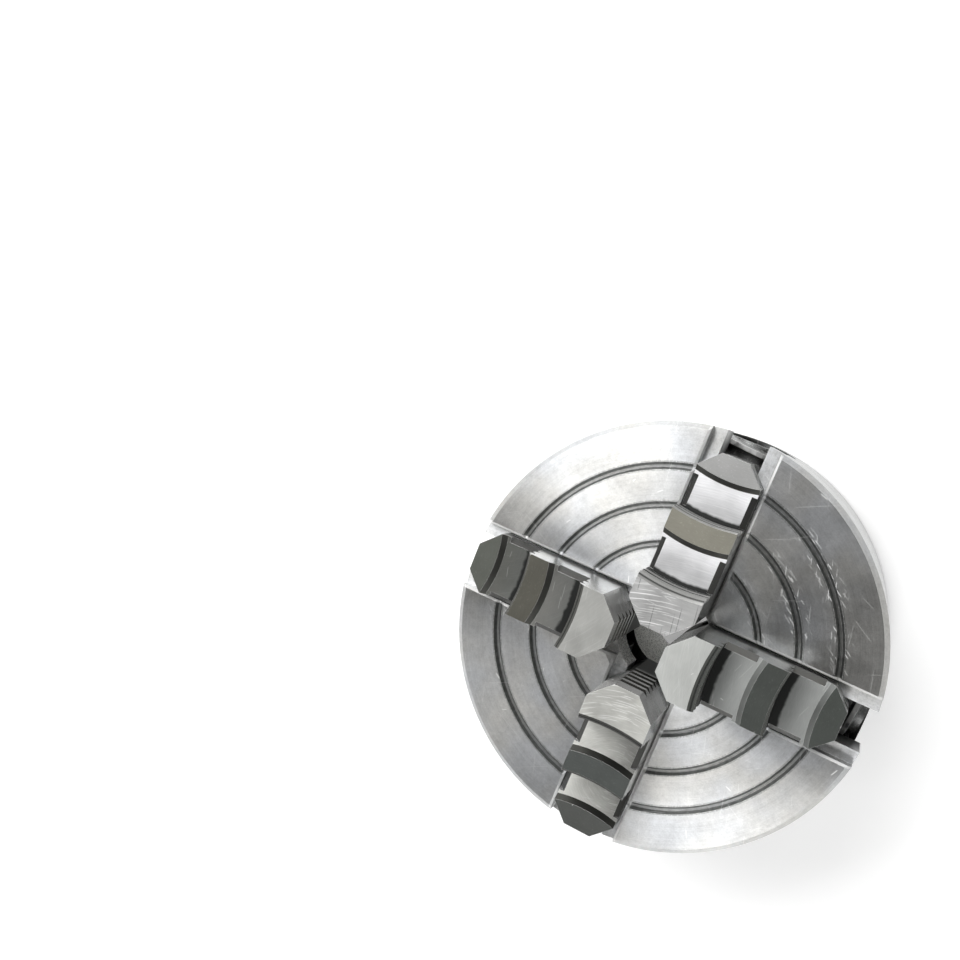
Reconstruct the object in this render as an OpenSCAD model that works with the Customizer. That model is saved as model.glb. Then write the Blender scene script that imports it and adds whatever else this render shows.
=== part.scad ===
// Four-jaw independent lathe chuck with reversible stepped jaws.
// The chuck axis is +Z. The back mounting face is at z = 0 and the front face looks up.
// Jaw 1 runs along +X, jaw 2 along +Y, jaw 3 along -X and jaw 4 along -Y.

/* [Body] */
// Outside diameter of the body
body_d = 100; // [80:1:160]
// Thickness from the back mounting face to the front face
body_h = 55; // [50:1:70]
// Diameter of the register recess in the back
register_d = 72; // [60:1:100]
// Depth of the register recess
register_depth = 3; // [2:0.5:5]
// Diameter of the through bore
bore_d = 22; // [16:1:24]
// Chamfer round the front end of the through bore
bore_chamfer = 2.6; // [0.5:0.1:4]
// Chamfer round the front rim
front_chamfer = 1.2; // [0.4:0.1:3]
// Chamfer round the back rim
back_chamfer = 0.8; // [0.3:0.1:2]
// Radii of the ring grooves on the face
ring_r = [21.9, 30.8, 39.8]; // [15:0.1:48]
// Width of a ring groove at the face
ring_w = 1.7; // [0.8:0.1:3]
// Depth of a ring groove
ring_depth = 0.8; // [0.3:0.1:2]

/* [Mounting holes] */
// Pitch circle of the threaded mounting holes
bolt_pcd = 84; // [76:1:90]
// Tapping diameter of a mounting hole, for M8
bolt_hole_d = 6.8; // [5:0.1:9]
// Depth of a mounting hole
bolt_hole_depth = 18; // [10:1:30]
// Number of mounting holes
bolt_count = 4; // [3:1:6]

/* [Jaw slots] */
// Width of a slot at the face and below the rails
slot_w = 16.4; // [14:0.1:20]
// Width left between the two rails
rail_gap = 10; // [8:0.1:13]
// Depth of the rail tops below the face
rail_top = 3.4; // [2:0.1:5]
// Depth of the rail undersides below the face
rail_bottom = 13; // [10:0.1:16]
// Depth of the slot floor below the face
slot_depth = 22.3; // [20:0.1:26]
// Chamfer along the slot edges at the face
slot_chamfer = 0.5; // [0.2:0.1:1]

/* [Jaw screws] */
// Depth of the screw axis below the face
screw_depth = 27.3; // [25:0.1:30]
// Outside diameter of the screw thread
thread_d = 19; // [16:0.1:22]
// Root diameter of the screw thread
thread_root_d = 14; // [12:0.1:17]
// Pitch of the left-hand screw thread
pitch = 4; // [3:0.5:6]
// Width of the thread ridge at its crest
crest_w = 1.1; // [0.8:0.1:2]
// Width of the thread ridge at its root
root_w = 2.3; // [1.5:0.1:3]
// Diameter of the bore the screw lies in
screw_bore_d = 19.8; // [17:0.1:23]
// Distance of the screw's inner end from the chuck axis
screw_inner = 13.6; // [12:0.1:18]
// Distance of the screw's outer end from the chuck axis
screw_outer = 48.9; // [45:0.1:50]
// Diameter of the neck held by the yoke
neck_d = 9; // [7:0.1:11]
// Length of the neck
neck_len = 7.2; // [5:0.1:10]
// Distance of the neck's middle from the chuck axis
neck_r = 27; // [22:0.1:32]
// Width across the flats of the square key socket
socket_w = 8; // [6:0.5:12]
// Depth of the square key socket
socket_depth = 10; // [6:0.5:14]
// Turn of the square socket against the thread
socket_turn = 37; // [0:1:89]

/* [Thrust yokes] */
// Diameter of the yoke plug pressed into the back
yoke_d = 16; // [12:0.5:17]
// Thickness of the fork blade along the screw
yoke_blade = 7; // [5:0.1:9]
// Height of the plug's flat end above the back face
yoke_plug_top = 17; // [14:0.5:17.5]
// Height of the fork prongs above the screw axis
yoke_reach = 2.5; // [1:0.1:4]

/* [Jaws] */
// Distance of each jaw tip from the chuck axis
jaw_tip = [3.9, 5, 8.1, 9.2]; // [3.2:0.1:24]
// Width of a jaw
jaw_w = 15.2; // [13:0.1:18]
// Length of a jaw from tip to outer end
jaw_len = 39.6; // [34:0.1:48]
// Heights of the three treads above the face, from the outer end to the tip
tread_z = [4, 12, 20]; // [2:0.5:30]
// Distance of the outer and the inner step wall from the tip, at the middle of the jaw
wall_u = [24.8, 9.85]; // [6:0.05:34]
// Radius of the hollow step walls
wall_r = 40; // [25:1:80]
// Length of the sunk part of a tread
relief_len = 9.5; // [5:0.1:12]
// Depth of the sunk part of a tread
relief_depth = 1.2; // [0.5:0.1:2]
// Width of the chamfers along both sides of a sunk part
relief_chamfer = 1.25; // [0.4:0.05:1.5]
// Slope of those chamfers, as fall over width
relief_slope = 1.45; // [1:0.05:2]
// Half width of the flat end facet at the tip
tip_facet = 2.9; // [2:0.1:5]
// Half width of the flat end facet at the outer end
end_facet = 3.3; // [2:0.1:5]
// Spacing of the grip grooves
grip_pitch = 3.6; // [2:0.1:5]
// Depth of the grip grooves
grip_depth = 1.1; // [0.5:0.1:1.6]
// Width of the two large grooves in the outer end
end_groove_w = 3.8; // [2:0.1:5]
// Depth of the two large grooves in the outer end
end_groove_depth = 2.8; // [1:0.1:4]
// Depth below the face of the two large grooves
end_groove_z = [0.7, 9]; // [0:0.1:14]
// Depth of the jaw underside below the face
jaw_bottom = 21.7; // [18:0.1:24]

/* [Display] */
// Sub-part to draw

/* [Hidden] */
$fn = 96;
eps = 0.01;
gap = 0.35;
slide_gap = 0.05;
body_r = body_d / 2;
axis_z = body_h - screw_depth;
thread_steps = 20;
wrap = 64;

// Angle of the left-hand thread helix at distance s along the screw
function helix_angle(s, phase) = phase - 360 * s / pitch;

// One corner of the thread section, at radius r and distance s + ds along the screw
function helix_point(r, s, ds, phase) =
  [r * cos(helix_angle(s, phase)), r * sin(helix_angle(s, phase)), s + ds];

// A helical bar of trapezoid section whose middle runs from s0 to s1 along +Z
module helix_bar(s0, s1, phase, r0, r1, w0, w1) {
  n = ceil((s1 - s0) / pitch * thread_steps);
  pts = [for (i = [0 : n]) let (s = s0 + (s1 - s0) * i / n) each [
    helix_point(r0, s, -w0 / 2, phase),
    helix_point(r1, s, -w1 / 2, phase),
    helix_point(r1, s, w1 / 2, phase),
    helix_point(r0, s, w0 / 2, phase)]];
  sides = [for (i = [0 : n - 1], j = [0 : 3])
    let (a = 4 * i + j, b = 4 * i + (j + 1) % 4)
    each [[a, b + 4, b], [a, a + 4, b + 4]]];
  caps = [[1, 2, 3], [0, 1, 3], [4 * n + 2, 4 * n + 1, 4 * n], [4 * n + 3, 4 * n + 2, 4 * n]];
  polyhedron(points = pts, faces = concat(sides, caps), convexity = 10);
}

// Turns a shape built along +Z so that it lies on the screw axis along +X
module along_screw() {
  translate([0, 0, axis_z]) rotate([0, 90, 0]) children();
}

// Section of one slot with its two rails, drawn as width across against height
module slot_section() {
  top = body_h + 1;
  polygon([
    [-slot_w / 2 - slot_chamfer - 1, top],
    [-slot_w / 2 - slot_chamfer, body_h],
    [-slot_w / 2, body_h - slot_chamfer],
    [-slot_w / 2, body_h - rail_top],
    [-rail_gap / 2, body_h - rail_top],
    [-rail_gap / 2, body_h - rail_bottom],
    [-slot_w / 2, body_h - rail_bottom],
    [-slot_w / 2, body_h - slot_depth],
    [slot_w / 2, body_h - slot_depth],
    [slot_w / 2, body_h - rail_bottom],
    [rail_gap / 2, body_h - rail_bottom],
    [rail_gap / 2, body_h - rail_top],
    [slot_w / 2, body_h - rail_top],
    [slot_w / 2, body_h - slot_chamfer],
    [slot_w / 2 + slot_chamfer, body_h],
    [slot_w / 2 + slot_chamfer + 1, top]
  ]);
}

// The turned blank of the body, with register, bore and ring grooves
module body_blank() {
  rotate_extrude()
    polygon([
      [bore_d / 2 + 1, register_depth],
      [register_d / 2, register_depth],
      [register_d / 2, 0.4],
      [register_d / 2 + 0.4, 0],
      [body_r - back_chamfer, 0],
      [body_r, back_chamfer],
      [body_r, body_h - front_chamfer],
      [body_r - front_chamfer, body_h],
      [bore_d / 2 + bore_chamfer, body_h],
      [bore_d / 2, body_h - bore_chamfer],
      [bore_d / 2, register_depth + 1]
    ]);
}

module ring_groove(r) {
  rotate_extrude()
    polygon([
      [r - ring_w / 2 - 0.6, body_h + 0.6],
      [r - ring_w / 2, body_h],
      [r - 0.25, body_h - ring_depth],
      [r + 0.25, body_h - ring_depth],
      [r + ring_w / 2, body_h],
      [r + ring_w / 2 + 0.6, body_h + 0.6]
    ]);
}

// Everything cut away for one jaw and its screw
module jaw_station_cut() {
  rotate([90, 0, 90]) linear_extrude(body_r + 5) slot_section();
  along_screw() translate([0, 0, screw_inner - 0.9]) cylinder(d = screw_bore_d, h = body_r);
  along_screw() translate([0, 0, body_r - 1.0])
    cylinder(d1 = screw_bore_d - 1, d2 = screw_bore_d + 3, h = 2);
  translate([neck_r, 0, -1]) cylinder(d = yoke_d, h = axis_z + 1);
}

module body() {
  color([0.72, 0.73, 0.74])
  difference() {
    body_blank();
    for (r = ring_r) ring_groove(r);
    for (a = [0 : 90 : 270]) rotate(a) jaw_station_cut();
    for (i = [0 : bolt_count - 1]) rotate(45 + 360 * i / bolt_count)
      translate([bolt_pcd / 2, 0, -1]) {
        cylinder(d = bolt_hole_d, h = bolt_hole_depth + 1);
        translate([0, 0, 0.1]) cylinder(d1 = bolt_hole_d + 2.6, d2 = bolt_hole_d, h = 1.3);
        translate([0, 0, bolt_hole_depth + 1]) cylinder(d1 = bolt_hole_d, d2 = 0.4, h = 1.9);
      }
  }
}

// Radial operating screw, drawn on the +X axis and turned by phase about its own axis
module jaw_screw(phase) {
  n0 = neck_r - neck_len / 2;
  n1 = neck_r + neck_len / 2;
  along_screw()
  difference() {
    union() {
      translate([0, 0, screw_inner]) cylinder(d1 = thread_root_d - 1.4, d2 = thread_root_d, h = 0.7);
      translate([0, 0, screw_inner + 0.7]) cylinder(d = thread_root_d, h = n0 - screw_inner - 0.7);
      translate([0, 0, n0 - eps]) cylinder(d = neck_d, h = neck_len + 2 * eps);
      translate([0, 0, n1]) cylinder(d = thread_root_d, h = screw_outer - n1);
      intersection() {
        helix_bar(screw_inner - 2, n0 + 2, phase,
                  thread_root_d / 2 - 0.5, thread_d / 2, root_w + 0.24, crest_w);
        translate([0, 0, screw_inner + 0.5]) cylinder(d = thread_d + 2, h = n0 - screw_inner - 0.5);
      }
      intersection() {
        helix_bar(n1 - 2, screw_outer + 2, phase,
                  thread_root_d / 2 - 0.5, thread_d / 2, root_w + 0.24, crest_w);
        translate([0, 0, n1]) cylinder(d = thread_d + 2, h = screw_outer - n1);
      }
    }
    translate([0, 0, screw_outer - socket_depth]) rotate(phase + socket_turn)
      linear_extrude(socket_depth + 1) square(socket_w, center = true);
  }
}

// Thrust yoke, a round plug with a forked blade round the neck of the screw on the +X axis
module yoke() {
  translate([neck_r, 0, 0])
  difference() {
    union() {
      translate([0, 0, register_depth + 0.3]) cylinder(d1 = yoke_d - 1, d2 = yoke_d, h = 0.5);
      translate([0, 0, register_depth + 0.8])
        cylinder(d = yoke_d, h = yoke_plug_top - register_depth - 0.8);
      intersection() {
        translate([-yoke_blade / 2, -yoke_d / 2, yoke_plug_top - 1])
          cube([yoke_blade, yoke_d, axis_z + yoke_reach - yoke_plug_top + 1]);
        translate([0, 0, yoke_plug_top - 1]) cylinder(d = yoke_d - 0.2, h = 40);
      }
    }
    translate([-yoke_blade, 0, axis_z]) rotate([0, 90, 0])
      cylinder(d = neck_d + 2 * slide_gap, h = 2 * yoke_blade);
    translate([-yoke_blade, -neck_d / 2 - slide_gap, axis_z])
      cube([2 * yoke_blade, neck_d + 2 * slide_gap, yoke_reach + 1]);
  }
}

// Plan outline of a jaw, tip at x = 0
module jaw_plan() {
  h = jaw_w / 2;
  polygon([
    [0, -tip_facet], [h - tip_facet, -h],
    [jaw_len - (h - end_facet), -h], [jaw_len, -end_facet],
    [jaw_len, end_facet], [jaw_len - (h - end_facet), h],
    [h - tip_facet, h], [0, tip_facet]
  ]);
}

// Everything above one tread: hollow step wall with two grip grooves, sunk floor, ledge and seat
module tread_cut(u, z0, z1, bead) {
  g = grip_pitch / 2;
  zm = z0 + 3.7;
  translate([u + wall_r, 0, 0])
  rotate_extrude($fn = 180)
    polygon([
      [0, z0],
      [wall_r - relief_len, z0],
      [wall_r - relief_len + relief_depth, z0 - relief_depth],
      [wall_r, z0 - relief_depth],
      [wall_r, zm - g - grip_depth],
      [wall_r + grip_depth, zm - g],
      [wall_r, zm - g + grip_depth],
      [wall_r, zm + g - grip_depth],
      [wall_r + grip_depth, zm + g],
      [wall_r, zm + g + grip_depth],
      [wall_r, z1 - bead],
      [wall_r + 0.4 * bead, z1 - 0.4 * bead],
      [wall_r + bead, z1],
      [wall_r + bead, z1 + 1],
      [0, z1 + 1]
    ]);
}

// Chamfers along both sides of the sunk part of a tread
module relief_edges(u, z) {
  c = relief_chamfer;
  len = relief_len - relief_depth - 0.75;
  for (s = [-1, 1])
    translate([u + 0.75, 0, 0])
    rotate([90, 0, 90]) linear_extrude(len)
      polygon([
        [s * (jaw_w / 2 - c), z - relief_depth],
        [s * (jaw_w / 2 + 0.5), z - relief_depth - (c + 0.5) * relief_slope],
        [s * (jaw_w / 2 + 0.5), z + 0.5],
        [s * (jaw_w / 2 - c), z + 0.5]
      ]);
}

// Horizontal V groove across an end of the jaw, facing along +X or -X
module cross_groove(x, z, w, depth, dir) {
  rotate([90, 0, 0]) linear_extrude(jaw_w + 2, center = true)
    polygon([
      [x + dir * 0.5, z - w / 2 - 0.5 * w / 2 / depth],
      [x - dir * depth, z],
      [x + dir * 0.5, z + w / 2 + 0.5 * w / 2 / depth]
    ]);
}

// Threaded trough under the jaw that rides on the screw
module half_nut() {
  r0 = thread_root_d / 2 + gap;
  r1 = thread_d / 2 + gap;
  slope = (root_w - crest_w) / (thread_d - thread_root_d) * 2;
  w1 = crest_w + 2 * gap;
  w0 = w1 + (r1 - r0 + 0.8) * slope;
  turns = ceil(jaw_len / pitch);
  translate([0, 0, -screw_depth]) rotate([0, 90, 0]) {
    translate([0, 0, -1]) cylinder(r = r0, h = jaw_len + 2);
    translate([0, 0, jaw_len - 3.0]) cylinder(r1 = r1 - 0.2, r2 = r1 + 3.2, h = 3.4);
    translate([0, 0, -1]) cylinder(r1 = r1 + 1.5, r2 = r0 - 0.2, h = 4.4);
    for (k = [0 : turns + 1])
      helix_bar(pitch * (k - (180 + wrap) / 360), pitch * (k - (180 - wrap) / 360), 0,
                r0 - 0.8, r1, w0, w1);
  }
}

// One reversible jaw, tip at x = 0 and chuck face at z = 0
module jaw_blank() {
  top = tread_z[2];
  difference() {
    translate([0, 0, -jaw_bottom]) linear_extrude(top + jaw_bottom) jaw_plan();
    tread_cut(wall_u[1], tread_z[1], tread_z[2], 1.3);
    tread_cut(wall_u[0], tread_z[0], tread_z[1], 0.5);
    relief_edges(wall_u[1], tread_z[1]);
    relief_edges(wall_u[0], tread_z[0]);
    for (s = [-1, 1])
      translate([-1, s > 0 ? rail_gap / 2 - slide_gap : -jaw_w, -rail_bottom - 0.15])
        cube([jaw_len + 2, jaw_w - rail_gap / 2 + slide_gap, rail_bottom - rail_top + 0.4]);
    for (k = [0 : 4]) cross_groove(0, 14 - k * grip_pitch, 2 * grip_depth, grip_depth, -1);
    for (z = end_groove_z) cross_groove(jaw_len, -z, end_groove_w, end_groove_depth, 1);
    half_nut();
  }
}

module jaw(k) {
  color([0.55, 0.56, 0.56])
  rotate(90 * (k - 1)) translate([jaw_tip[k - 1], 0, body_h]) jaw_blank();
}

module screw_at(k) {
  color([0.2, 0.2, 0.21])
  rotate(90 * (k - 1)) jaw_screw(360 * jaw_tip[k - 1] / pitch);
}

module yoke_at(k) {
  color([0.45, 0.45, 0.46]) rotate(90 * (k - 1)) yoke();
}

module jaw_1() { jaw(1); }
module jaw_2() { jaw(2); }
module jaw_3() { jaw(3); }
module jaw_4() { jaw(4); }
module jaw_screw_1() { screw_at(1); }
module jaw_screw_2() { screw_at(2); }
module jaw_screw_3() { screw_at(3); }
module jaw_screw_4() { screw_at(4); }
module yoke_1() { yoke_at(1); }
module yoke_2() { yoke_at(2); }
module yoke_3() { yoke_at(3); }
module yoke_4() { yoke_at(4); }

body();
jaw_1();
jaw_2();
jaw_3();
jaw_4();
jaw_screw_1();
jaw_screw_2();
jaw_screw_3();
jaw_screw_4();
yoke_1();
yoke_2();
yoke_3();
yoke_4();
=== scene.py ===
"""Looks of the four-jaw independent lathe chuck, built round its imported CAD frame."""

import math

import bpy
from mathutils import Euler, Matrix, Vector

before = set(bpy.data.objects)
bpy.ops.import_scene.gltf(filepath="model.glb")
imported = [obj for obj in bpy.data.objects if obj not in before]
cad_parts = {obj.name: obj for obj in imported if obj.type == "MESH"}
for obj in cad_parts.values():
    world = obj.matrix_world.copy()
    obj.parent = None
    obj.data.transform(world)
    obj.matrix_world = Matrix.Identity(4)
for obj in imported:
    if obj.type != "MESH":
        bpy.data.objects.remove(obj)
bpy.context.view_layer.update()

# Sizes of the chuck in millimetres, as the CAD model has them
FACE_Z = 55.0
RIM_R = 50.0
RING_RADII = (21.9, 30.8, 39.8)
RING_HALF_WIDTH = 0.85
SLOT_HALF_WIDTH = 8.2
RAIL_TOP_Z = 51.6
SLOT_FLOOR_Z = 32.7
REGISTER_DEPTH = 3.0
BORE_R = 11.0
SCREW_AXIS_Z = 27.7
SCREW_END_R = 48.9
YOKE_AXIS_R = 27.0
JAW_TIPS = (3.9, 5.0, 8.1, 9.2)
INNER_WALL_U = 9.85
OUTER_WALL_U = 24.8
STEP_R = 40.0
TOP_H = 20.0
STEP_RISE = 8.0
SEAT_1_H = TOP_H - STEP_RISE
SEAT_2_H = SEAT_1_H - STEP_RISE
RELIEF_DEPTH = 1.2

# Colours of the metals, as reflectance. The near-black and the periphery's darker steel are painted
# shade, the pale bore grey is painted light, and the white serves for nicks and for painted edge
# highlights
BRIGHT_STEEL = (0.63, 0.63, 0.62, 1.0)
COOL_STEEL = (0.618, 0.630, 0.645, 1.0)
WARM_STEEL = (0.640, 0.634, 0.612, 1.0)
GREY_STEEL = (0.42, 0.425, 0.42, 1.0)
SHADED_SIDE_STEEL = (0.33, 0.335, 0.33, 1.0)
DARK_STEEL = (0.165, 0.17, 0.165, 1.0)
SHADE_BLACK = (0.028, 0.029, 0.028, 1.0)
SCREW_BLACK = (0.22, 0.223, 0.22, 1.0)
LIGHTENED_CAST_GREY = (0.88, 0.88, 0.85, 1.0)
NICK_AND_GLINT_WHITE = (0.86, 0.86, 0.85, 1.0)

# Camera that frames the chuck as the photograph does: metres, degrees, millimetres, shares of width
CAMERA_PLACE = (0.02941, 0.05105, 0.3075)
CAMERA_TURN = (-2.5998, 17.956, 22.7576)
CAMERA_LENS = 41.818
CAMERA_SHIFT = (-0.0375, 0.05625)

# Studio lamps: azimuth, elevation, distance, width, height, radiance
SOFTBOXES = {
    "key_softbox": (139, 50, 0.9, 0.75, 0.55, 7.0),
    "fill_softbox": (72, 50, 0.9, 0.4, 0.4, 1.5),
    "low_softbox": (294, 45, 0.9, 0.45, 0.5, 5.0),
    "side_softbox": (228, 47, 1.0, 0.4, 0.4, 2.4),
}


class Graph:
    """One procedural material while its nodes are being wired."""

    def __init__(self, name):
        self.material = bpy.data.materials.new(name)
        self.material.use_nodes = True
        self.tree = self.material.node_tree
        self.tree.nodes.clear()

    def feed(self, socket, value):
        if isinstance(value, bpy.types.NodeSocket):
            self.tree.links.new(value, socket)
        else:
            socket.default_value = value

    def node(self, kind, inputs=None, **settings):
        made = self.tree.nodes.new(kind)
        for key, value in settings.items():
            setattr(made, key, value)
        for key, value in (inputs or {}).items():
            self.feed(made.inputs[key], value)
        return made

    def math(self, operation, a, b=0.0, c=0.0, clamp=False):
        made = self.node("ShaderNodeMath", {0: a, 1: b, 2: c}, operation=operation, use_clamp=clamp)
        return made.outputs[0]

    def add(self, a, b):
        return self.math("ADD", a, b)

    def sub(self, a, b):
        return self.math("SUBTRACT", a, b)

    def mul(self, *values):
        out = values[0]
        for value in values[1:]:
            out = self.math("MULTIPLY", out, value)
        return out

    def most(self, *values):
        out = values[0]
        for value in values[1:]:
            out = self.math("MAXIMUM", out, value)
        return out

    def size(self, value):
        return self.math("ABSOLUTE", value)

    def inverse(self, value):
        return self.math("SUBTRACT", 1.0, value)

    def rise(self, value, low, high):
        """0 below low, 1 above high and smooth between them. It falls instead if low is above high."""
        made = self.node("ShaderNodeMapRange", {"Value": value}, interpolation_type="SMOOTHSTEP")
        ends = ((low, high), (0.0, 1.0)) if low < high else ((high, low), (1.0, 0.0))
        for name, number in zip(("From Min", "From Max", "To Min", "To Max"), ends[0] + ends[1]):
            made.inputs[name].default_value = number
        return made.outputs["Result"]

    def band(self, value, low, high, soft):
        """1 between low and high, 0 outside, with soft edges."""
        up = self.rise(value, low - soft, low + soft)
        return self.mul(up, self.rise(value, high + soft, high - soft))

    def blend(self, factor, a, b):
        made = self.node("ShaderNodeMix", {0: factor}, data_type="FLOAT")
        self.feed(made.inputs[2], a)
        self.feed(made.inputs[3], b)
        return made.outputs[0]

    def turn(self, factor, a, b):
        """A direction between a and b."""
        made = self.node("ShaderNodeMix", {0: factor}, data_type="VECTOR")
        self.feed(made.inputs[4], a)
        self.feed(made.inputs[5], b)
        return made.outputs[1]

    def tint(self, factor, a, b, how="MIX"):
        made = self.node("ShaderNodeMix", data_type="RGBA", blend_type=how)
        self.feed(made.inputs["Factor"], factor)
        self.feed(made.inputs[6], a)
        self.feed(made.inputs[7], b)
        return made.outputs[2]

    def shade(self, color, level):
        """color times the number level."""
        grey = self.node("ShaderNodeCombineColor", {0: level, 1: level, 2: level}).outputs[0]
        return self.tint(1.0, color, grey, "MULTIPLY")

    def join(self, x, y, z=0.0):
        return self.node("ShaderNodeCombineXYZ", {0: x, 1: y, 2: z}).outputs[0]

    def split(self, vector):
        return tuple(self.node("ShaderNodeSeparateXYZ", {0: vector}).outputs)

    def noise(self, vector, scale, detail=2.0, roughness=0.5):
        made = self.node("ShaderNodeTexNoise", {"Vector": vector, "Scale": scale, "Detail": detail,
                                                "Roughness": roughness})
        return made.outputs["Fac"]

    def streaks(self, along, across, length, width, seed, detail=2.0):
        """Noise drawn out along one direction: each streak about length by width millimetres."""
        place = self.join(self.mul(along, 1 / length), self.mul(across, 1 / width), seed)
        return self.noise(place, 1.0, detail)

    def scatter(self, place, scale, seed):
        """Cells that hold one mark each: the way from the mark's centre, and three random numbers."""
        moved = self.node("ShaderNodeVectorMath", {0: place, 1: (seed * 7.3, seed * 3.7, 0.0)},
                          operation="ADD").outputs[0]
        cells = self.node("ShaderNodeTexVoronoi", {"Vector": moved, "Scale": scale},
                          voronoi_dimensions="2D")
        offset = self.node("ShaderNodeVectorMath", {0: moved, 1: cells.outputs["Position"]},
                           operation="SUBTRACT").outputs[0]
        dx, dy, _ = self.split(offset)
        return dx, dy, self.split(cells.outputs["Color"])

    def strokes(self, along, across, length, spacing, width, seed, share=0.5):
        """Thin scratches that run one way, each with its own length and slight slant."""
        place = self.join(self.mul(along, 1 / length), self.mul(across, 1 / spacing), 0.0)
        dx, dy, (slant, keep, stretch) = self.scatter(place, 1.0, seed)
        gap = self.add(self.mul(dy, spacing), self.mul(dx, self.sub(slant, 0.5), spacing * 0.6))
        reach = self.add(0.15, self.mul(stretch, 0.4))
        inside = self.rise(self.math("DIVIDE", self.size(dx), reach), 1.0, 0.5)
        thin = self.rise(self.size(gap), width, width * 0.3)
        return self.mul(inside, thin, self.rise(keep, 1 - share, 1.02 - share))

    def slanted(self, x, y, angle):
        """Coordinates along and across a line at one angle."""
        c, s = math.cos(math.radians(angle)), math.sin(math.radians(angle))
        return self.add(self.mul(x, c), self.mul(y, s)), self.sub(self.mul(y, c), self.mul(x, s))

    def nicks(self, x, y, cell, length, width, seed, share=0.5):
        """Short bright dents, one at most in each cell, each turned its own way."""
        dx, dy, (turn, keep, stretch) = self.scatter(self.join(x, y, 0.0), 1 / cell, seed)
        angle = self.mul(turn, 2 * math.pi)
        c, s = self.math("COSINE", angle), self.math("SINE", angle)
        along = self.size(self.add(self.mul(dx, c), self.mul(dy, s)))
        across = self.size(self.sub(self.mul(dy, c), self.mul(dx, s)))
        reach = self.mul(self.add(stretch, 0.4), length / 2)
        inside = self.rise(self.math("DIVIDE", along, reach), 1.0, 0.6)
        thin = self.rise(across, width, width * 0.3)
        return self.mul(inside, thin, self.rise(keep, 1 - share, 1.02 - share))

    def position(self):
        """Object coordinates in millimetres."""
        place = self.node("ShaderNodeTexCoord").outputs["Object"]
        return self.node("ShaderNodeVectorMath", {0: place, 1: (1000.0,) * 3},
                         operation="MULTIPLY").outputs[0]

    def normal(self):
        return self.node("ShaderNodeTexCoord").outputs["Normal"]

    def radius(self, x, y):
        return self.math("SQRT", self.add(self.mul(x, x), self.mul(y, y)))

    def rounded(self, radius_mm):
        """The normal with its edges rounded off, and how close a point is to an edge."""
        soft = self.node("ShaderNodeBevel", {"Radius": radius_mm / 1000}, samples=4).outputs[0]
        true = self.node("ShaderNodeNewGeometry").outputs["Normal"]
        agree = self.node("ShaderNodeVectorMath", {0: soft, 1: true}, operation="DOT_PRODUCT")
        return soft, self.rise(agree.outputs["Value"], 0.985, 0.86)

    def metal(self, color, roughness, height_mm, tangent, anisotropic, base_normal, metallic=1.0):
        """The finished surface: metal with a lay, its roughness, relief and direction from the nodes."""
        bump = self.node("ShaderNodeBump", {"Height": height_mm, "Normal": base_normal,
                                            "Strength": 1.0, "Distance": 0.001})
        shader = self.node("ShaderNodeBsdfPrincipled", {
            "Base Color": color, "Roughness": roughness, "Metallic": metallic,
            "Normal": bump.outputs[0], "Tangent": tangent, "Anisotropic": anisotropic})
        out = self.node("ShaderNodeOutputMaterial")
        self.tree.links.new(shader.outputs[0], out.inputs["Surface"])
        return self.material


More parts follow.
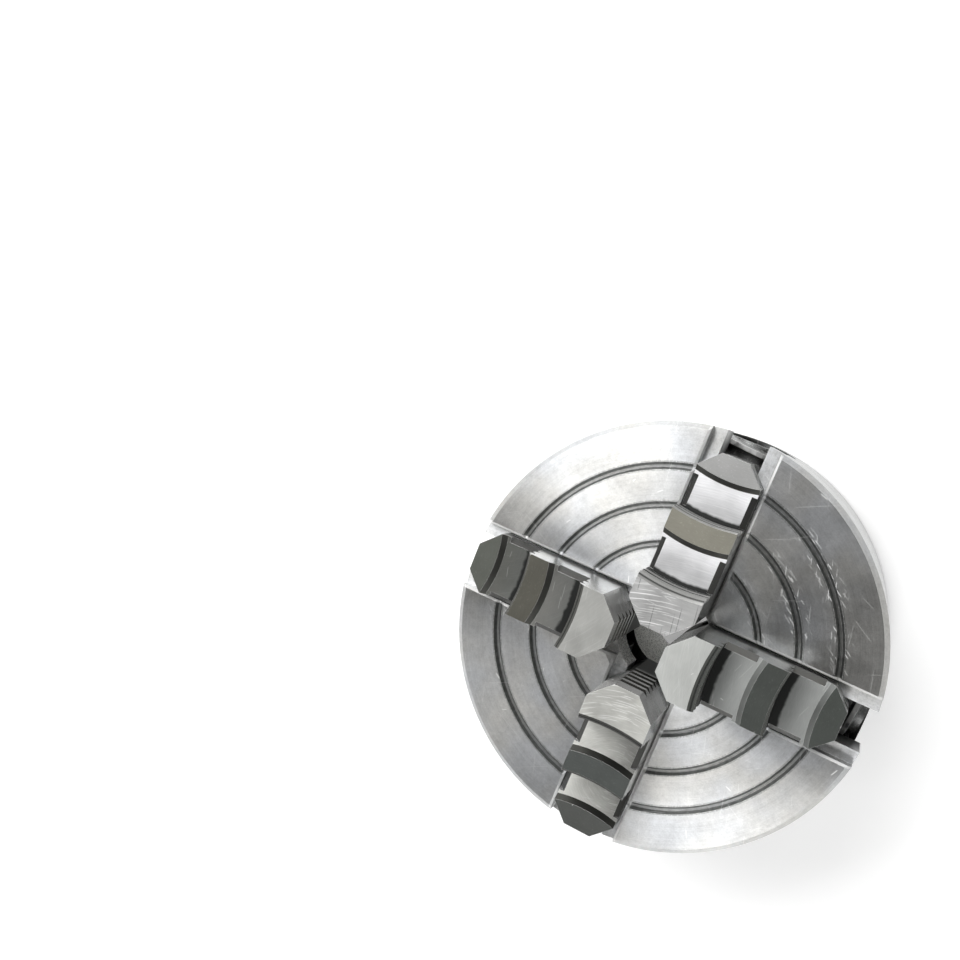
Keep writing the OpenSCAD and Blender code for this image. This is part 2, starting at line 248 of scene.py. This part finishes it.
def body_material():
    """Turned face and periphery, milled slots, and painted shade deep inside."""
    g = Graph("body_steel")
    x, y, z = g.split(g.position())
    _, _, up = g.split(g.normal())
    ax, ay = g.size(x), g.size(y)
    r = g.radius(x, y)
    across, along = g.math("MINIMUM", ax, ay), g.most(ax, ay)
    soft_normal, edge = g.rounded(0.14)

    flat_up = g.rise(g.size(up), 0.86, 0.95)
    upright = g.inverse(g.rise(g.size(up), 0.2, 0.4))
    on_face = g.mul(flat_up, g.rise(z, FACE_Z - 0.25, FACE_Z - 0.1))
    on_back = g.mul(flat_up, g.rise(z, REGISTER_DEPTH + 0.3, REGISTER_DEPTH + 0.1))
    on_side = g.mul(upright, g.rise(r, RIM_R - 0.3, RIM_R - 0.1))
    near_top = g.rise(z, FACE_Z - 1.2, FACE_Z - 0.6)
    in_slot = g.mul(g.rise(across, SLOT_HALF_WIDTH + 0.7, SLOT_HALF_WIDTH + 0.5),
                    g.inverse(on_face), g.inverse(on_side), g.rise(z, SLOT_FLOOR_Z - 0.3, SLOT_FLOOR_Z))
    ring_gap = g.size(g.sub(r, RING_RADII[0]))
    for ring in RING_RADII[1:]:
        ring_gap = g.math("MINIMUM", ring_gap, g.size(g.sub(r, ring)))
    in_ring = g.mul(g.rise(ring_gap, RING_HALF_WIDTH + 0.1, RING_HALF_WIDTH + 0.03), near_top,
                    g.inverse(on_face), g.inverse(in_slot))
    deep = g.mul(g.inverse(on_face), g.inverse(on_side), g.inverse(on_back),
                 g.rise(z, RAIL_TOP_Z - 0.6, RAIL_TOP_Z - 9.0))

    in_bore = g.mul(upright, g.rise(r, BORE_R + 0.4, BORE_R + 0.1))
    inside = g.mul(deep, g.inverse(in_bore))

    # Turning marks: rings of random tone round the axis on the face, and round the periphery
    wander = g.mul(g.noise(g.join(x, y, z), 0.05, 2.0), 0.9)
    lathe = g.add(g.mul(g.add(r, wander), g.add(on_face, on_back)),
                  g.mul(g.add(z, wander), g.inverse(g.add(on_face, on_back))))
    turned = g.noise(g.join(g.mul(lathe, 4.2), 0.0, 0.0), 1.0, 4.0, 0.62)
    broad = g.noise(g.join(g.mul(lathe, 1.1), 3.0, 0.0), 1.0, 3.0, 0.6)
    milled = g.streaks(along, g.add(across, z), 14.0, 0.28, 2.0, 3.0)
    marks = g.blend(in_slot, turned, milled)

    # Wear: hairlines in several directions, a cloud of handling stains, dents beside the grooves
    flat_x = g.blend(on_side, x, g.mul(g.math("ARCTAN2", y, x), RIM_R))
    flat_y = g.blend(on_side, y, z)
    lines = g.most(g.strokes(*g.slanted(flat_x, flat_y, 27), 11.0, 3.4, 0.09, 1.0, 0.16),
                   g.strokes(*g.slanted(flat_x, flat_y, 104), 7.0, 3.0, 0.09, 5.0, 0.16),
                   g.strokes(*g.slanted(flat_x, flat_y, 152), 13.0, 4.4, 0.10, 9.0, 0.14))
    clouds = g.noise(g.join(x, y, z), 0.07, 5.0, 0.68)
    mottle = g.noise(g.join(x, y, g.add(z, 40.0)), 0.9, 3.0, 0.7)
    casting = g.noise(g.join(x, y, g.mul(z, 0.3)), 3.2, 3.0, 0.7)
    dents = g.mul(g.nicks(flat_x, flat_y, 7.0, 1.8, 0.15, 1.0, 0.2), g.most(on_face, on_side))
    around = g.mul(g.math("ARCTAN2", y, x), 180 / math.pi)
    burr_sector = g.most(g.band(around, 14.0, 62.0, 5.0), g.band(around, -176.0, -160.0, 4.0))
    burr_patch = g.rise(g.noise(g.join(x, y, 9.0), 0.16, 1.0), 0.36, 0.46)
    burr_zone = g.mul(g.rise(ring_gap, 3.4, 0.9), on_face, burr_sector, burr_patch)
    burrs = g.mul(g.most(g.strokes(*g.slanted(x, y, 146), 3.2, 0.7, 0.17, 4.0, 0.5),
                         g.strokes(*g.slanted(x, y, 112), 2.6, 0.9, 0.15, 8.0, 0.35)), burr_zone)
    bright_marks = g.most(g.mul(lines, 0.32), g.mul(dents, 0.8), g.mul(burrs, 0.7))

    spotty = g.blend(on_side, 1.0, 0.3)
    level = g.add(0.90, g.add(g.mul(g.sub(marks, 0.5), 0.26), g.mul(g.sub(clouds, 0.5), spotty, 0.6)))
    level = g.add(level, g.add(g.mul(g.sub(broad, 0.5), 0.28), g.mul(g.sub(mottle, 0.5), spotty, 0.4)))
    level = g.add(level, g.mul(g.sub(casting, 0.5), spotty, 0.35))
    sheen = g.rise(g.noise(g.join(x, y, g.add(z, 80.0)), 0.06, 2.0), 0.35, 0.65)
    color = g.shade(g.tint(sheen, COOL_STEEL, WARM_STEEL), level)
    # Painted shade: the periphery gets a darker steel than the turned face
    color = g.tint(g.mul(on_side, 0.9), color, g.shade(SHADED_SIDE_STEEL, level))
    # Painted shade: the ring grooves are darkened toward dark steel, in speckles
    ring_tone = g.add(0.7, g.add(g.mul(turned, 0.5), g.mul(g.sub(mottle, 0.5), 1.6)))
    color = g.tint(g.mul(in_ring, 0.92), color, g.shade(DARK_STEEL, ring_tone))
    ring_lip = g.mul(on_face, g.rise(ring_gap, RING_HALF_WIDTH + 0.4, RING_HALF_WIDTH + 0.2))
    color = g.tint(g.mul(ring_lip, g.rise(casting, 0.62, 0.48), 0.6), color, DARK_STEEL)
    # Painted shade: the upright slot walls are tinted darker than the rail tops
    wall_in_slot = g.mul(in_slot, g.rise(up, 0.5, 0.1))
    color = g.tint(g.mul(wall_in_slot, 0.6), color, g.shade(GREY_STEEL, level))
    color = g.tint(g.mul(in_slot, g.rise(mottle, 0.5, 0.36), 0.5), color, GREY_STEEL)
    # Painted shade: the body's inside, below the rail tops and outside the bore, is tinted near black
    color = g.tint(g.mul(inside, 0.93), color, SHADE_BLACK)
    # The bore wall is speckled cast grey; its paleness is painted light, standing in for light that
    # hardly reaches into it
    bore_tone = g.add(0.6, g.mul(g.rise(casting, 0.35, 0.62), 0.6))
    color = g.tint(in_bore, color, g.shade(LIGHTENED_CAST_GREY, bore_tone))
    # Edges are lightened toward white, partly as wear and partly as a painted highlight; the slot
    # chamfers' lip is a painted highlight
    slot_lip = g.mul(in_slot, g.band(up, 0.6, 0.8, 0.05), near_top)
    edge_wear_and_glint = g.most(g.mul(edge, g.inverse(g.most(inside, in_ring))), g.mul(slot_lip, 0.7))
    color = g.tint(g.mul(edge_wear_and_glint, 0.8), color, NICK_AND_GLINT_WHITE)
    color = g.tint(g.mul(bright_marks, 0.9), color, NICK_AND_GLINT_WHITE)

    roughness = g.add(0.37, g.mul(g.sub(clouds, 0.5), 0.2))
    roughness = g.add(roughness, g.mul(g.sub(marks, 0.5), 0.10))
    roughness = g.blend(on_side, roughness, g.sub(roughness, 0.16))
    roughness = g.blend(inside, roughness, 0.45)
    roughness = g.blend(in_bore, roughness, 0.6)
    roughness = g.blend(g.mul(edge_wear_and_glint, 0.7), roughness, 0.55)

    height = g.add(g.mul(marks, 0.0035), g.mul(bright_marks, -0.006))
    height = g.add(height, g.add(g.mul(clouds, 0.004), g.mul(casting, in_bore, 0.03)))
    height = g.add(height, g.mul(mottle, g.most(in_ring, in_slot), 0.006))
    height = g.add(height, g.mul(casting, on_face, 0.004))
    metallic = g.inverse(g.most(g.mul(in_bore, 0.9), g.mul(bright_marks, 0.75),
                                g.mul(edge_wear_and_glint, 0.45), g.mul(slot_lip, 0.85)))

    # The gloss spreads across the lay: outwards on turned surfaces, one way over all milled ones
    radial = g.join(g.math("DIVIDE", x, r), g.math("DIVIDE", y, r), 0.0)
    lay = g.turn(on_side, radial, (0.0, 0.0, 1.0))
    lay = g.turn(in_slot, lay, (-0.2, 1.0, 0.3))
    return g.metal(color, roughness, height, lay, 0.8, soft_normal, metallic)


def jaw_material(number, looks):
    """Ground treads with arc scratches, blackened seats and dark side faces, with painted shade at the
    feet of the step walls and below the face.
    """
    g = Graph(f"jaw_steel_{number}")
    turn = math.radians(-90 * (number - 1))
    tip = JAW_TIPS[number - 1]
    px, py, pz = g.split(g.position())
    nx, ny, up = g.split(g.normal())
    c, s = round(math.cos(turn)), round(math.sin(turn))
    u = g.sub(g.sub(g.mul(px, c), g.mul(py, s)), tip)
    v = g.add(g.mul(px, s), g.mul(py, c))
    out = g.sub(g.mul(nx, c), g.mul(ny, s))
    h = g.sub(pz, FACE_Z)
    soft_normal, edge = g.rounded(0.12)

    flat_up = g.rise(up, 0.85, 0.95)
    on_top = g.mul(flat_up, g.rise(h, TOP_H - 0.5, TOP_H - 0.2))
    on_seat_1 = g.mul(flat_up, g.band(h, SEAT_1_H - 0.6, SEAT_1_H + 0.6, 0.1))
    on_relief_1 = g.mul(flat_up, g.band(h, SEAT_1_H - 2.0, SEAT_1_H - 0.6, 0.1))
    on_seat_2 = g.mul(flat_up, g.band(h, SEAT_2_H - 0.6, SEAT_2_H + 0.6, 0.1))
    on_relief_2 = g.mul(flat_up, g.band(h, SEAT_2_H - 2.0, SEAT_2_H - 0.6, 0.1))
    seats = g.most(on_seat_1, on_seat_2)
    flats = g.most(on_top, on_relief_1, on_relief_2, seats)
    upright = g.inverse(g.rise(g.size(up), 0.3, 0.5))
    on_wall = g.mul(upright, g.rise(out, 0.5, 0.8), g.rise(u, 36.0, 34.0))
    on_tip = g.mul(upright, g.rise(out, -0.2, -0.4), g.rise(h, 0.0, 2.0))
    sloped = g.mul(g.inverse(upright), g.inverse(flats))
    on_bead = g.mul(sloped, g.rise(out, 0.2, 0.4))
    on_ramp = g.mul(sloped, g.rise(out, -0.2, -0.4))
    below = g.rise(h, -1.0, -4.0)

    # How far a point on a sunk floor is from the foot of the hollow step wall behind it
    to_inner = g.sub(STEP_R, g.radius(g.sub(u, INNER_WALL_U + STEP_R), v))
    to_outer = g.sub(STEP_R, g.radius(g.sub(u, OUTER_WALL_U + STEP_R), v))
    reliefs = g.most(on_relief_1, on_relief_2)
    foot = g.blend(on_relief_2, to_inner, to_outer)
    wall_shade_reach = looks["wall_shade_reach"]
    ragged = g.mul(g.sub(g.noise(g.join(u, v, h), 0.5, 2.0), 0.5), 0.3 + 0.3 * wall_shade_reach)
    foot = g.add(foot, ragged)
    # Painted shade: near black where a sunk floor meets the step wall behind it, fading through dark
    # steel further out
    wall_foot_shade = g.mul(reliefs, g.rise(foot, wall_shade_reach + 0.4, wall_shade_reach - 0.3))
    wall_shade_fade = g.mul(reliefs, g.rise(foot, wall_shade_reach + 5.5, wall_shade_reach - 0.5), min(0.3 * wall_shade_reach, 0.6))
    wall_height = g.blend(g.rise(h, SEAT_1_H - 0.1, SEAT_1_H + 0.1),
                          g.sub(h, SEAT_2_H - RELIEF_DEPTH), g.sub(h, SEAT_1_H - RELIEF_DEPTH))

    # Arc scratches left by the grinding wheel, and straight ones across them
    wheel_u, wheel_v = g.sub(u, looks["wheel_u"]), g.sub(v, looks["wheel_v"])
    wheel = g.radius(wheel_u, wheel_v)
    sweep = g.mul(g.math("ARCTAN2", wheel_v, wheel_u), math.hypot(looks["wheel_u"], looks["wheel_v"]))
    arcs = g.noise(g.join(g.mul(wheel, 3.2), number * 5.0, g.mul(sweep, 0.10)), 1.0, 4.0, 0.75)
    arc_lines = g.most(g.mul(g.strokes(sweep, wheel, 9.0, 0.5, 0.09, number + 1.0, 0.65), 0.7),
                       g.strokes(sweep, wheel, 14.0, 1.5, 0.14, number + 3.0, 0.35))
    grain = g.noise(g.join(g.mul(u, 6.0), g.mul(v, 0.5), h), 1.0, 3.0)
    lines = g.most(g.strokes(*g.slanted(u, v, 64 + 11 * number), 6.0, 2.4, 0.10, number + 1.0, 0.3),
                   g.strokes(*g.slanted(u, v, 118 - 7 * number), 5.0, 2.0, 0.10, number + 6.0, 0.3))
    cross = g.mul(g.strokes(*g.slanted(u, v, 8), 16.0, 1.0, 0.13, number + 9.0, 0.55), on_top)
    clouds = g.noise(g.join(u, v, g.add(h, number * 11.0)), 0.12, 4.0, 0.6)
    specks = g.rise(g.noise(g.join(u, v, h), 2.2, 2.0, 0.7), 0.60, 0.72)
    side_streaks = g.streaks(u, h, 9.0, 0.5, number + 4.0, 3.0)
    dents = g.mul(g.nicks(u, v, 4.0, 0.9, 0.11, number * 1.0, 0.2), flats)
    scratch = looks["scratch"]
    bright_marks = g.most(g.mul(arc_lines, g.most(on_top, g.mul(reliefs, 0.25)), looks["arcs"]),
                          g.mul(lines, 0.15 + 0.4 * scratch, g.most(on_top, reliefs)),
                          g.mul(dents, 0.55))
    bright_marks = g.mul(bright_marks, g.inverse(wall_foot_shade))

    tone = g.add(0.90, g.add(g.mul(g.sub(grain, 0.5), 0.18), g.mul(g.sub(clouds, 0.5), 0.30)))
    tone = g.add(tone, g.mul(g.sub(arcs, 0.5), 0.12 + 0.5 * scratch, on_top))
    fine = g.add(tone, g.mul(g.sub(specks, 0.3), 0.2))
    # Painted light and shade: the sunk floors lighten from one side to the other
    sunk = g.add(tone, g.mul(v, looks["relief_shade_tilt"] / 8))
    sunk = g.add(sunk, g.mul(g.sub(arcs, 0.5), scratch))
    side_tone = g.add(0.85, g.add(g.mul(g.sub(side_streaks, 0.5), 0.5), g.mul(g.sub(clouds, 0.5), 0.5)))
    color = g.shade(looks["side"], side_tone)
    # Painted light: the tip facets are lightened toward bright steel
    color = g.tint(on_tip, color, g.shade(BRIGHT_STEEL, g.add(side_tone, 0.05)))
    color = g.tint(sloped, color, g.shade(looks["flank"], tone))
    color = g.tint(on_bead, color, g.shade(looks["bead"], tone))
    # Painted shade: a black line along the bead, a little under the step edge
    under_edge = g.sub(STEP_RISE, g.math("MODULO", g.add(h, STEP_RISE - SEAT_2_H), STEP_RISE))
    color = g.tint(g.mul(on_bead, g.band(under_edge, 0.35, 0.65, 0.12), 0.85), color, SHADE_BLACK)
    color = g.tint(on_ramp, color, g.shade(looks["ramp"], tone))
    color = g.tint(on_top, color, g.shade(looks["top"], tone))
    color = g.tint(on_relief_1, color, g.shade(looks["relief_1"], sunk))
    color = g.tint(on_relief_2, color, g.shade(looks["relief_2"], sunk))
    # Painted shade on the sunk floors beside the step walls
    color = g.tint(g.mul(wall_shade_fade, 0.8), color, g.shade(DARK_STEEL, tone))
    color = g.tint(g.mul(wall_foot_shade, 0.99), color, SHADE_BLACK)
    color = g.tint(on_seat_1, color, g.shade(looks["seat_1"], fine))
    color = g.tint(on_seat_2, color, g.shade(looks["seat_2"], fine))
    # Painted shade: the step walls turn black toward their foot
    wall_color = g.tint(g.rise(wall_height, 4.8, 6.6), SHADE_BLACK, g.shade(DARK_STEEL, side_tone))
    color = g.tint(on_wall, color, wall_color)
    # Painted shade: the jaw below the chuck's face is tinted near black
    color = g.tint(g.mul(below, 0.8), color, SHADE_BLACK)
    # Edges are lightened toward white, partly as wear and partly as a painted highlight, except under
    # the painted shade
    edge_wear_and_glint = g.inverse(g.most(below, g.mul(on_wall, g.rise(wall_height, 6.0, 5.0)), wall_foot_shade))
    edge_wear_and_glint = g.mul(edge, edge_wear_and_glint)
    color = g.tint(g.mul(edge_wear_and_glint, 0.7), color, NICK_AND_GLINT_WHITE)
    color = g.tint(g.mul(cross, looks["cross"]), color, g.shade(DARK_STEEL, tone))
    color = g.tint(g.mul(bright_marks, 0.85), color, NICK_AND_GLINT_WHITE)
    metallic = g.inverse(g.most(g.mul(bright_marks, 0.7), g.mul(edge_wear_and_glint, 0.4), g.mul(on_tip, 0.4)))

    roughness = g.add(looks["gloss"], g.mul(g.sub(clouds, 0.5), 0.2))
    roughness = g.blend(seats, roughness, 0.5)
    roughness = g.blend(upright, roughness, g.add(0.24, g.mul(g.sub(side_streaks, 0.5), 0.16)))
    roughness = g.blend(g.most(on_wall, wall_foot_shade, below), roughness, 0.5)
    height = g.add(g.mul(grain, flats, 0.002), g.mul(side_streaks, upright, 0.003))
    height = g.add(height, g.add(g.mul(arcs, on_top, 0.003 * scratch + 0.001),
                                 g.mul(bright_marks, -0.006)))
    speckled = g.most(seats, g.mul(reliefs, 0.6), g.mul(on_top, 0.4))
    height = g.add(height, g.mul(specks, speckled, 0.005))

    # Ground flats have their lay across the jaw, so their gloss spreads along it
    heading = math.radians(90 * (number - 1) + looks["lay_turn"])
    along_jaw = (math.cos(heading), math.sin(heading), 0.0)
    lay = g.turn(upright, along_jaw, (0.0, 0.0, 1.0))
    return g.metal(color, roughness, height, lay, looks["lay"], soft_normal, metallic)


def screw_material(number):
    """Blackened screw with rubbed thread crests, lightened also as painted glints, a speckled end and a
    dark square socket.
    """
    g = Graph(f"screw_black_{number}")
    turn = math.radians(-90 * (number - 1))
    px, py, pz = g.split(g.position())
    c, s = round(math.cos(turn)), round(math.sin(turn))
    u = g.sub(g.mul(px, c), g.mul(py, s))
    v = g.add(g.mul(px, s), g.mul(py, c))
    w = g.sub(pz, SCREW_AXIS_Z)
    rho = g.radius(v, w)
    soft_normal, edge = g.rounded(0.18)

    end_zone = g.rise(u, SCREW_END_R - 0.25, SCREW_END_R - 0.1)
    crest = g.rise(rho, 9.1, 9.45)
    turned = g.noise(g.join(g.mul(rho, 3.0), 0.0, number * 3.0), 1.0, 3.0)
    along = g.noise(g.join(g.mul(u, 4.0), 0.0, 1.0), 1.0, 3.0)
    specks = g.noise(g.join(v, w, u), 1.6, 4.0, 0.75)
    clouds = g.noise(g.join(u, v, w), 0.3, 3.0)
    marks = g.blend(end_zone, along, turned)
    color = g.shade(SCREW_BLACK, g.add(0.6, g.mul(marks, 0.9)))
    color = g.tint(g.mul(g.rise(specks, 0.55, 0.7), 0.6), color, BRIGHT_STEEL)
    # Thread crests rubbed bare and lightened, partly wear and partly painted glints
    color = g.tint(g.mul(crest, g.rise(clouds, 0.30, 0.50), 0.95), color, BRIGHT_STEEL)
    color = g.tint(g.mul(end_zone, 0.6), color, g.shade(DARK_STEEL, g.add(0.4, marks)))
    color = g.tint(g.mul(end_zone, g.rise(specks, 0.5, 0.66), 0.6), color, GREY_STEEL)
    # Edges lightened, partly as wear and partly as a painted highlight
    color = g.tint(g.mul(edge, 0.5), color, BRIGHT_STEEL)
    roughness = g.add(0.34, g.mul(g.sub(clouds, 0.5), 0.3))
    height = g.add(g.mul(marks, 0.006), g.mul(specks, 0.006))
    lay = g.turn(end_zone, (c, -s, 0.0), (0.0, 0.0, 1.0))
    speckle = g.most(g.mul(g.rise(specks, 0.45, 0.60), g.blend(end_zone, 0.7, 0.3)),
                     g.mul(edge, 0.5), g.mul(crest, 0.5))
    return g.metal(color, roughness, height, lay, 0.4, soft_normal, g.inverse(speckle))


def yoke_material():
    """Turned plug face at the back, blackened fork inside."""
    g = Graph("yoke_steel")
    x, y, z = g.split(g.position())
    _, _, up = g.split(g.normal())
    soft_normal, edge = g.rounded(0.2)
    plug = g.rise(g.size(up), 0.85, 0.95)
    axis_gap = g.math("ABSOLUTE", g.sub(g.most(g.size(x), g.size(y)), YOKE_AXIS_R))
    rho = g.radius(axis_gap, g.math("MINIMUM", g.size(x), g.size(y)))
    turned = g.noise(g.join(g.mul(rho, 3.4), 1.0, 0.0), 1.0, 3.0)
    clouds = g.noise(g.join(x, y, z), 0.25, 4.0, 0.6)
    tone = g.add(0.8, g.add(g.mul(g.sub(turned, 0.5), 0.5, plug), g.mul(g.sub(clouds, 0.5), 0.5)))
    color = g.shade(GREY_STEEL, tone)
    color = g.tint(g.rise(z, 4.0, 9.0), color, g.shade(DARK_STEEL, tone))
    # Edges lightened, partly as wear and partly as a painted highlight
    color = g.tint(g.mul(edge, 0.6), color, BRIGHT_STEEL)
    roughness = g.add(0.38, g.mul(g.sub(clouds, 0.5), 0.25))
    height = g.add(g.mul(turned, plug, 0.005), g.mul(clouds, 0.01))
    return g.metal(color, roughness, height, (1.0, 0.0, 0.0), 0.2, soft_normal)


# Each jaw's own look. Its colours differ from jaw to jaw partly by finish and partly as painted light
# and shade, by how light falls on each jaw. Reflectance: top, sunk floors (relief), seats, side faces,
# the beads along the step edges, the ramps behind the sunk floors and the sloped flanks. The tilt is
# painted light and shade: how much the sunk floors lighten from one side to the other. wheel_u and
# wheel_v are the centre of the wheel marks along and across the jaw, in millimetres. scratch, arcs and
# cross say how strongly tone, arcs and crossed scratches show. lay is how far the gloss is drawn out and
# lay_turn its angle from the jaw's own line, gloss is the roughness, and the last is how far the painted
# shade reaches from the step walls
JAW_LOOKS = {
    1: {"top": (0.57, 0.58, 0.56, 1.0), "relief_1": (0.39, 0.40, 0.39, 1.0),
        "relief_2": (0.38, 0.39, 0.38, 1.0), "seat_1": (0.095, 0.102, 0.095, 1.0),
        "seat_2": (0.10, 0.108, 0.10, 1.0), "side": (0.50, 0.51, 0.50, 1.0),
        "wheel_u": 60.0, "wheel_v": 12.0, "scratch": 0.08, "arcs": 0.10, "cross": 0.0,
        "bead": (0.13, 0.135, 0.125, 1.0), "ramp": (0.36, 0.37, 0.36, 1.0),
        "flank": (0.20, 0.20, 0.19, 1.0), "relief_shade_tilt": 0.05,
        "lay": 0.15, "lay_turn": 0.0, "gloss": 0.52, "wall_shade_reach": 2.1},
    2: {"top": (0.435, 0.435, 0.43, 1.0), "relief_1": (0.84, 0.84, 0.85, 1.0),
        "relief_2": (0.79, 0.79, 0.80, 1.0), "seat_1": (0.218, 0.211, 0.178, 1.0),
        "seat_2": (0.305, 0.305, 0.30, 1.0), "side": (0.40, 0.41, 0.40, 1.0),
        "wheel_u": -34.0, "wheel_v": -8.0, "scratch": 0.5, "arcs": 0.75, "cross": 0.65,
        "bead": (0.42, 0.42, 0.41, 1.0), "ramp": (0.12, 0.12, 0.11, 1.0),
        "flank": (0.085, 0.085, 0.08, 1.0), "relief_shade_tilt": -0.05,
        "lay": 0.65, "lay_turn": 20.0, "gloss": 0.38, "wall_shade_reach": 1.0},
    3: {"top": (0.46, 0.46, 0.44, 1.0), "relief_1": (0.19, 0.19, 0.178, 1.0),
        "relief_2": (0.14, 0.142, 0.13, 1.0), "seat_1": (0.13, 0.126, 0.107, 1.0),
        "seat_2": (0.14, 0.146, 0.13, 1.0), "side": (0.66, 0.66, 0.65, 1.0),
        "wheel_u": 48.0, "wheel_v": -30.0, "scratch": 0.06, "arcs": 0.10, "cross": 0.0,
        "bead": (0.13, 0.13, 0.12, 1.0), "ramp": (0.14, 0.14, 0.13, 1.0),
        "flank": (0.15, 0.15, 0.145, 1.0), "relief_shade_tilt": 0.12,
        "lay": 0.15, "lay_turn": 0.0, "gloss": 0.50, "wall_shade_reach": 3.0},
    4: {"top": (0.60, 0.60, 0.565, 1.0), "relief_1": (0.52, 0.52, 0.49, 1.0),
        "relief_2": (0.53, 0.53, 0.50, 1.0), "seat_1": (0.084, 0.09, 0.086, 1.0),
        "seat_2": (0.09, 0.093, 0.088, 1.0), "side": (0.42, 0.43, 0.42, 1.0),
        "wheel_u": 24.0, "wheel_v": 4.0, "scratch": 0.5, "arcs": 0.85, "cross": 0.0,
        "bead": (0.09, 0.09, 0.085, 1.0), "ramp": (0.06, 0.06, 0.055, 1.0),
        "flank": (0.085, 0.085, 0.08, 1.0), "relief_shade_tilt": -0.50,
        "lay": 0.65, "lay_turn": 15.0, "gloss": 0.38, "wall_shade_reach": 0.8},
}


def dress(node, material):
    """Gives a CAD node its material in place of the plain one that it came with."""
    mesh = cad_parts[node].data
    if not mesh.materials:
        mesh.materials.append(material)
    for index in range(len(mesh.materials)):
        mesh.materials[index] = material


dress("body", body_material())
yoke = yoke_material()
for k in range(1, 5):
    dress(f"jaw_{k}", jaw_material(k, JAW_LOOKS[k]))
    dress(f"jaw_screw_{k}", screw_material(k))
    dress(f"yoke_{k}", yoke)


def floor_material():
    """Plain pale paper."""
    g = Graph("floor_paper")
    place = g.position()
    fibre = g.noise(place, 0.8, 3.0)
    shader = g.node("ShaderNodeBsdfPrincipled", {
        "Base Color": g.shade((0.86, 0.86, 0.86, 1.0), g.add(0.98, g.mul(fibre, 0.03))),
        "Roughness": 0.9, "Specular IOR Level": 0.1,
        "Emission Color": (1.0, 1.0, 1.0, 1.0), "Emission Strength": 0.27})
    out = g.node("ShaderNodeOutputMaterial")
    g.tree.links.new(shader.outputs[0], out.inputs["Surface"])
    return g.material


def add_floor(half_side, drop):
    mesh = bpy.data.meshes.new("floor")
    corners = [(-half_side, -half_side), (half_side, -half_side), (half_side, half_side),
               (-half_side, half_side)]
    mesh.from_pydata([(x, y, -drop) for x, y in corners], [], [(0, 1, 2, 3)])
    floor = bpy.data.objects.new("floor", mesh)
    bpy.context.scene.collection.objects.link(floor)
    floor.data.materials.append(floor_material())


def add_softbox(name, azimuth, elevation, distance, width, height, radiance, aim=(0.0, 0.0, 0.04)):
    """A rectangular studio lamp that faces the chuck, its brightness given as radiance."""
    lamp = bpy.data.lights.new(name, "AREA")
    lamp.shape = "RECTANGLE"
    lamp.size = width
    lamp.size_y = height
    lamp.energy = radiance * math.pi * width * height
    az, el = math.radians(azimuth), math.radians(elevation)
    away = Vector((math.cos(az) * math.cos(el), math.sin(az) * math.cos(el), math.sin(el)))
    holder = bpy.data.objects.new(name, lamp)
    holder.location = Vector(aim) + away * distance
    holder.rotation_euler = away.to_track_quat("Z", "Y").to_euler()
    bpy.context.scene.collection.objects.link(holder)


def add_world(zenith, horizon):
    """A tent of soft light, darker overhead, where the camera looks in, than round the horizon."""
    world = bpy.data.worlds.new("studio")
    world.use_nodes = True
    tree = world.node_tree
    back = tree.nodes["Background"]
    back.inputs["Color"].default_value = (1.0, 1.0, 0.99, 1.0)
    direction = tree.nodes.new("ShaderNodeTexCoord").outputs["Generated"]
    height = tree.nodes.new("ShaderNodeSeparateXYZ")
    tree.links.new(direction, height.inputs[0])
    fall = tree.nodes.new("ShaderNodeMapRange")
    fall.interpolation_type = "SMOOTHSTEP"
    ends = {"From Min": 0.05, "From Max": 0.75, "To Min": horizon, "To Max": zenith}
    for name, number in ends.items():
        fall.inputs[name].default_value = number
    tree.links.new(height.outputs["Z"], fall.inputs["Value"])
    tree.links.new(fall.outputs["Result"], back.inputs["Strength"])
    bpy.context.scene.world = world


def add_camera():
    lens = bpy.data.cameras.new("camera")
    lens.sensor_width = 36.0
    lens.lens = CAMERA_LENS
    lens.shift_x, lens.shift_y = CAMERA_SHIFT
    lens.clip_start = 0.01
    lens.dof.use_dof = False
    camera = bpy.data.objects.new("camera", lens)
    camera.location = CAMERA_PLACE
    camera.rotation_euler = Euler([math.radians(a) for a in CAMERA_TURN], "XYZ")
    bpy.context.scene.collection.objects.link(camera)
    bpy.context.scene.camera = camera


add_floor(3.0, 0.0003)
for name, setting in SOFTBOXES.items():
    add_softbox(name, *setting)
add_world(0.08, 0.85)
add_camera()
bpy.context.scene.view_settings.view_transform = "Standard"
